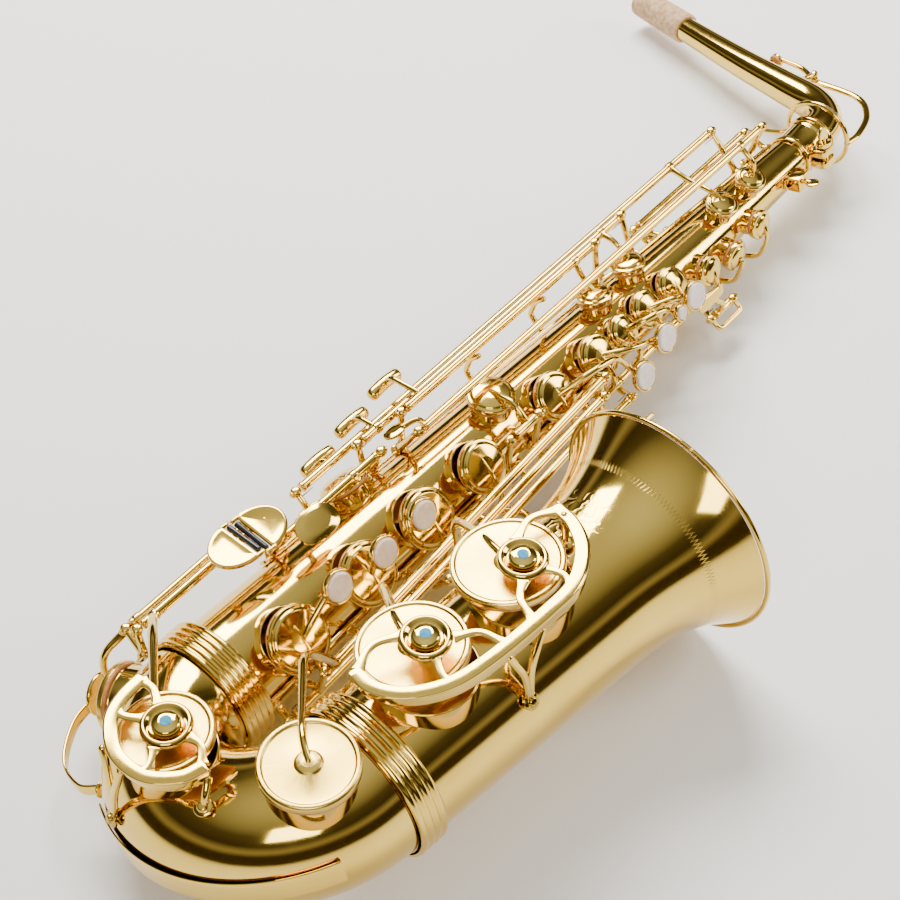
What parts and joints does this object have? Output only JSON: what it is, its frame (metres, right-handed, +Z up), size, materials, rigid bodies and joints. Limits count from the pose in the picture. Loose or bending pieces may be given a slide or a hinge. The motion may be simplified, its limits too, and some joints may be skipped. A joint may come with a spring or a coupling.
{
  "type": "alto saxophone",
  "caption": "Brass woodwind with a curved neck, a conical tube bent into an upturned bell, padded keys on long rods, guards, posts and finger plates, lying on its side.",
  "frame": {"origin": "centre of the instrument's box at the surface it lies on", "axes": "+Y from the bow up the body to the neck, +Z up from the surface it lies on, +X from the body towards the bell"},
  "size_m": [0.3646, 0.685, 0.1294],
  "materials": {
    "lacquered_brass": "gold lacquer over polished brass",
    "key_brass": "gold lacquer over polished brass keywork",
    "polished_brass": "polished screw heads",
    "cork": "smooth sanded cork",
    "black_plastic": "black polished plastic"
  },
  "bodies": {
    "horn": {"body_tube": "lacquered_brass", "bow": "lacquered_brass", "bell": "lacquered_brass", "body_bow_band": "lacquered_brass", "bell_bow_band": "lacquered_brass", "neck_receiver": "lacquered_brass", "lower_stack_posts": "lacquered_brass", "upper_stack_posts": "lacquered_brass", "side_key_posts": "lacquered_brass", "little_finger_posts": "lacquered_brass", "palm_key_posts": "lacquered_brass", "octave_posts": "lacquered_brass", "bow_posts": "lacquered_brass", "bell_key_guard": "lacquered_brass", "low_c_guard": "lacquered_brass", "low_e_flat_guard": "lacquered_brass", "thumb_hook": "lacquered_brass", "strap_ring": "lacquered_brass", "thumb_rest": "black_plastic", "bell_brace": "lacquered_brass", "bow_guard": "lacquered_brass", "lyre_holder": "lacquered_brass"},
    "neck": {"neck": "lacquered_brass", "neck_cork": "cork"},
    "neck_octave_key": {"neck_octave_key": "key_brass"},
    "receiver_screw": {"receiver_screw": "lacquered_brass"},
    "d_key": {"d_key": "key_brass"},
    "e_key": {"e_key": "key_brass"},
    "f_key": {"f_key": "key_brass"},
    "f_sharp_key": {"f_sharp_key": "key_brass"},
    "g_key": {"g_key": "key_brass"},
    "a_key": {"a_key": "key_brass"},
    "bis_key": {"bis_key": "key_brass"},
    "b_key": {"b_key": "key_brass"},
    "c_key": {"c_key": "key_brass"},
    "side_e_key": {"side_e_key": "key_brass"},
    "side_c_key": {"side_c_key": "key_brass"},
    "side_bb_key": {"side_bb_key": "key_brass"},
    "high_f_sharp_key": {"high_f_sharp_key": "key_brass"},
    "alt_f_sharp_key": {"alt_f_sharp_key": "key_brass"},
    "low_c_key": {"low_c_key": "key_brass"},
    "low_e_flat_key": {"low_e_flat_key": "key_brass"},
    "low_c_sharp_key": {"low_c_sharp_key": "key_brass"},
    "low_b_key": {"low_b_key": "key_brass"},
    "low_b_flat_key": {"low_b_flat_key": "key_brass"},
    "g_sharp_key": {"g_sharp_key": "key_brass"},
    "g_sharp_lever": {"g_sharp_lever": "key_brass"},
    "front_f_key": {"front_f_key": "key_brass"},
    "palm_d_key": {"palm_d_key": "key_brass"},
    "palm_e_flat_key": {"palm_e_flat_key": "key_brass"},
    "palm_f_key": {"palm_f_key": "key_brass"},
    "octave_thumb_lever": {"octave_thumb_lever": "key_brass"},
    "octave_rod": {"octave_rod": "key_brass"},
    "octave_vent_key": {"octave_vent_key": "key_brass"},
    "low_c_roller": {"low_c_roller": "black_plastic"},
    "low_e_flat_roller": {"low_e_flat_roller": "black_plastic"},
    "table_roller": {"table_roller": "black_plastic"},
    "low_b_bumper": {"low_b_bumper": "polished_brass"},
    "low_b_flat_bumper": {"low_b_flat_bumper": "polished_brass"},
    "low_c_bumper": {"low_c_bumper": "polished_brass"}
  },
  "joints": [
    {"name": "neck_swivel", "type": "hinge", "parent": "horn", "child": "neck", "pos_m": [-0.0008, 0.25695, 0.03253], "axis": [0, 1, -0.0008], "range_deg": [-20, 20]},
    {"name": "neck_octave_key_hinge", "type": "hinge", "parent": "neck", "child": "neck_octave_key", "pos_m": [-0.03196, 0.31216, 0.02968], "axis": [0.0896, -0.0008, -0.996], "range_deg": [0, 4], "stiffness_Nm_per_rad": 0.12, "springref_deg": -34.38},
    {"name": "receiver_screw_turn", "type": "hinge", "parent": "horn", "child": "receiver_screw", "pos_m": [0.01685, 0.24595, 0.03699], "axis": [-0.2443, 0.0008, 0.9697], "continuous": true},
    {"name": "d_key_hinge", "type": "hinge", "parent": "horn", "child": "d_key", "pos_m": [0.037, -0.23641, 0.02635], "axis": [0.0321, -0.9995, -0.0048], "range_deg": [0, 7.31], "stiffness_Nm_per_rad": 0.12, "springref_deg": -34.38},
    {"name": "e_key_hinge", "type": "hinge", "parent": "horn", "child": "e_key", "pos_m": [0.03538, -0.18601, 0.02659], "axis": [0.0321, -0.9995, -0.0048], "range_deg": [0, 7.64], "stiffness_Nm_per_rad": 0.12, "springref_deg": -34.38},
    {"name": "f_key_hinge", "type": "hinge", "parent": "horn", "child": "f_key", "pos_m": [0.03423, -0.15001, 0.02676], "axis": [0.0321, -0.9995, -0.0048], "range_deg": [0, 7.95], "stiffness_Nm_per_rad": 0.12, "springref_deg": -34.38},
    {"name": "f_sharp_key_hinge", "type": "hinge", "parent": "horn", "child": "f_sharp_key", "pos_m": [0.03291, -0.10901, 0.02696], "axis": [0.0321, -0.9995, -0.0048], "range_deg": [0, 8.29], "stiffness_Nm_per_rad": 0.12, "springref_deg": -34.38},
    {"name": "g_key_hinge", "type": "hinge", "parent": "horn", "child": "g_key", "pos_m": [0.02903, -0.03601, 0.02704], "axis": [0.0346, -0.9994, -0.0058], "range_deg": [0, 6.87], "stiffness_Nm_per_rad": 0.12, "springref_deg": -34.38},
    {"name": "a_key_hinge", "type": "hinge", "parent": "horn", "child": "a_key", "pos_m": [0.02796, -0.00501, 0.02722], "axis": [0.0346, -0.9994, -0.0058], "range_deg": [0, 7.18], "stiffness_Nm_per_rad": 0.12, "springref_deg": -34.38},
    {"name": "bis_key_hinge", "type": "hinge", "parent": "horn", "child": "bis_key", "pos_m": [0.02679, 0.02899, 0.02742], "axis": [0.0346, -0.9994, -0.0058], "range_deg": [0, 6.41], "stiffness_Nm_per_rad": 0.12, "springref_deg": -34.38},
    {"name": "b_key_hinge", "type": "hinge", "parent": "horn", "child": "b_key", "pos_m": [0.0261, 0.04899, 0.02753], "axis": [0.0346, -0.9994, -0.0058], "range_deg": [0, 6.6], "stiffness_Nm_per_rad": 0.12, "springref_deg": -34.38},
    {"name": "c_key_hinge", "type": "hinge", "parent": "horn", "child": "c_key", "pos_m": [0.02527, 0.07299, 0.02768], "axis": [0.0346, -0.9994, -0.0058], "range_deg": [0, 6.81], "stiffness_Nm_per_rad": 0.12, "springref_deg": -34.38},
    {"name": "side_e_key_hinge", "type": "hinge", "parent": "horn", "child": "side_e_key", "pos_m": [-0.03214, -0.15338, 0.06311], "axis": [0, -1, 0.0008], "range_deg": [0, 4.56], "stiffness_Nm_per_rad": 0.12, "springref_deg": -34.38},
    {"name": "side_c_key_hinge", "type": "hinge", "parent": "horn", "child": "side_c_key", "pos_m": [-0.025, -0.11537, 0.06952], "axis": [0, -1, 0.0008], "range_deg": [0, 10.78], "stiffness_Nm_per_rad": 0.12, "springref_deg": -34.38},
    {"name": "side_bb_key_hinge", "type": "hinge", "parent": "horn", "child": "side_bb_key", "pos_m": [-0.0187, -0.08937, 0.07521], "axis": [0, -1, 0.0008], "range_deg": [0, 12.71], "stiffness_Nm_per_rad": 0.12, "springref_deg": -34.38},
    {"name": "high_f_sharp_key_hinge", "type": "hinge", "parent": "horn", "child": "high_f_sharp_key", "pos_m": [-0.00475, -0.09237, 0.07306], "axis": [0, -1, 0.0008], "range_deg": [0, 11.05], "stiffness_Nm_per_rad": 0.12, "springref_deg": -34.38},
    {"name": "alt_f_sharp_key_hinge", "type": "hinge", "parent": "horn", "child": "alt_f_sharp_key", "pos_m": [-0.01328, -0.18337, 0.06892], "axis": [0, 1, -0.0008], "range_deg": [0, 13.15], "stiffness_Nm_per_rad": 0.12, "springref_deg": -34.38},
    {"name": "low_c_key_hinge", "type": "hinge", "parent": "horn", "child": "low_c_key", "pos_m": [-0.02997, -0.26138, 0.06684], "axis": [0, 1, -0.0008], "range_deg": [0, 5.08], "stiffness_Nm_per_rad": 0.3, "springref_deg": -34.38},
    {"name": "low_e_flat_key_hinge", "type": "hinge", "parent": "horn", "child": "low_e_flat_key", "pos_m": [-0.03905, -0.26138, 0.05991], "axis": [0, 1, -0.0008], "range_deg": [0, 6.68], "stiffness_Nm_per_rad": 0.3, "springref_deg": -34.38},
    {"name": "low_c_sharp_key_hinge", "type": "hinge", "parent": "horn", "child": "low_c_sharp_key", "pos_m": [0.04852, -0.22038, 0.0574], "axis": [0.0631, -0.9979, 0.0167], "range_deg": [0, 5.14], "stiffness_Nm_per_rad": 0.3, "springref_deg": -34.38},
    {"name": "low_b_key_hinge", "type": "hinge", "parent": "horn", "child": "low_b_key", "pos_m": [0.05193, -0.18338, 0.05441], "axis": [-0.0631, 0.9979, -0.0167], "range_deg": [0, 7.4], "stiffness_Nm_per_rad": 0.3, "springref_deg": -34.38},
    {"name": "low_b_flat_key_hinge", "type": "hinge", "parent": "horn", "child": "low_b_flat_key", "pos_m": [0.05502, -0.14139, 0.05134], "axis": [-0.0631, 0.9979, -0.0167], "range_deg": [0, 6.97], "stiffness_Nm_per_rad": 0.3, "springref_deg": -34.38},
    {"name": "g_sharp_key_hinge", "type": "hinge", "parent": "horn", "child": "g_sharp_key", "pos_m": [0.02656, -0.05938, 0.05926], "axis": [0, 1, -0.0008], "range_deg": [0, 6.74], "stiffness_Nm_per_rad": 0.12, "springref_deg": -34.38},
    {"name": "g_sharp_lever_hinge", "type": "hinge", "parent": "horn", "child": "g_sharp_lever", "pos_m": [0.03463, 0.00859, 0.01897], "axis": [0, -1, 0.0008], "range_deg": [0, 7], "stiffness_Nm_per_rad": 0.12, "springref_deg": -34.38},
    {"name": "front_f_key_hinge", "type": "hinge", "parent": "horn", "child": "front_f_key", "pos_m": [0.03427, 0.10859, 0.02034], "axis": [0, 1, -0.0008], "range_deg": [0, 6], "stiffness_Nm_per_rad": 0.12, "springref_deg": -34.38},
    {"name": "palm_d_key_hinge", "type": "hinge", "parent": "horn", "child": "palm_d_key", "pos_m": [0.00135, 0.10957, 0.00298], "axis": [-0.0014, 0.9998, 0.0192], "range_deg": [0, 5.99], "stiffness_Nm_per_rad": 0.12, "springref_deg": -34.38},
    {"name": "palm_e_flat_key_hinge", "type": "hinge", "parent": "horn", "child": "palm_e_flat_key", "pos_m": [0.00131, 0.13558, 0.00348], "axis": [-0.0014, 0.9998, 0.0192], "range_deg": [0, 5.93], "stiffness_Nm_per_rad": 0.12, "springref_deg": -34.38},
    {"name": "palm_f_key_hinge", "type": "hinge", "parent": "horn", "child": "palm_f_key", "pos_m": [0.00127, 0.16057, 0.00396], "axis": [-0.0014, 0.9998, 0.0192], "range_deg": [0, 6.09], "stiffness_Nm_per_rad": 0.12, "springref_deg": -34.38},
    {"name": "octave_thumb_lever_hinge", "type": "hinge", "parent": "horn", "child": "octave_thumb_lever", "pos_m": [-0.02358, 0.10859, 0.02072], "axis": [0.2443, -0.0008, -0.9697], "range_deg": [0, 6], "stiffness_Nm_per_rad": 0.12, "springref_deg": -34.38},
    {"name": "octave_rod_hinge", "type": "hinge", "parent": "horn", "child": "octave_rod", "pos_m": [-0.02992, 0.12261, 0.0418], "axis": [0, 1, -0.0008], "range_deg": [0, 8], "stiffness_Nm_per_rad": 0.12, "springref_deg": -34.38},
    {"name": "octave_vent_key_hinge", "type": "hinge", "parent": "horn", "child": "octave_vent_key", "pos_m": [-0.0231, 0.12859, 0.02289], "axis": [-0.2443, 0.0008, 0.9697], "range_deg": [0, 6], "stiffness_Nm_per_rad": 0.12, "springref_deg": -34.38},
    {"name": "low_c_roller_turn", "type": "hinge", "parent": "low_c_key", "child": "low_c_roller", "pos_m": [-0.02065, -0.20227, 0.07957], "axis": [0.9965, -0.0001, -0.0833], "continuous": true},
    {"name": "low_e_flat_roller_turn", "type": "hinge", "parent": "low_e_flat_key", "child": "low_e_flat_roller", "pos_m": [-0.01956, -0.19847, 0.07869], "axis": [0.9852, -0.0001, -0.1712], "continuous": true},
    {"name": "table_roller_turn", "type": "hinge", "parent": "low_c_sharp_key", "child": "table_roller", "pos_m": [0.05161, -0.01521, 0.0212], "axis": [0.5858, 0.0006, 0.8105], "continuous": true},
    {"name": "low_b_bumper_turn", "type": "hinge", "parent": "horn", "child": "low_b_bumper", "pos_m": [0.10683, -0.21821, 0.12444], "axis": [0.0325, 0.0008, 0.9995], "continuous": true},
    {"name": "low_b_flat_bumper_turn", "type": "hinge", "parent": "horn", "child": "low_b_flat_bumper", "pos_m": [0.11217, -0.16048, 0.12422], "axis": [0.0325, 0.0008, 0.9995], "continuous": true},
    {"name": "low_c_bumper_turn", "type": "hinge", "parent": "horn", "child": "low_c_bumper", "pos_m": [0.03881, -0.30606, 0.1002], "axis": [0.0325, 0.0008, 0.9995], "continuous": true}
  ],
  "couplings": [
    {"joint": "f_sharp_key_hinge", "follows": "f_key_hinge", "ratio": 1.042},
    {"joint": "c_key_hinge", "follows": "a_key_hinge", "ratio": 0.948},
    {"joint": "g_sharp_key_hinge", "follows": "g_sharp_lever_hinge", "ratio": 0.962},
    {"joint": "palm_f_key_hinge", "follows": "front_f_key_hinge", "ratio": 1.014},
    {"joint": "octave_rod_hinge", "follows": "octave_thumb_lever_hinge", "ratio": 1.333},
    {"joint": "neck_octave_key_hinge", "follows": "octave_thumb_lever_hinge", "ratio": 0.666}
  ]
}
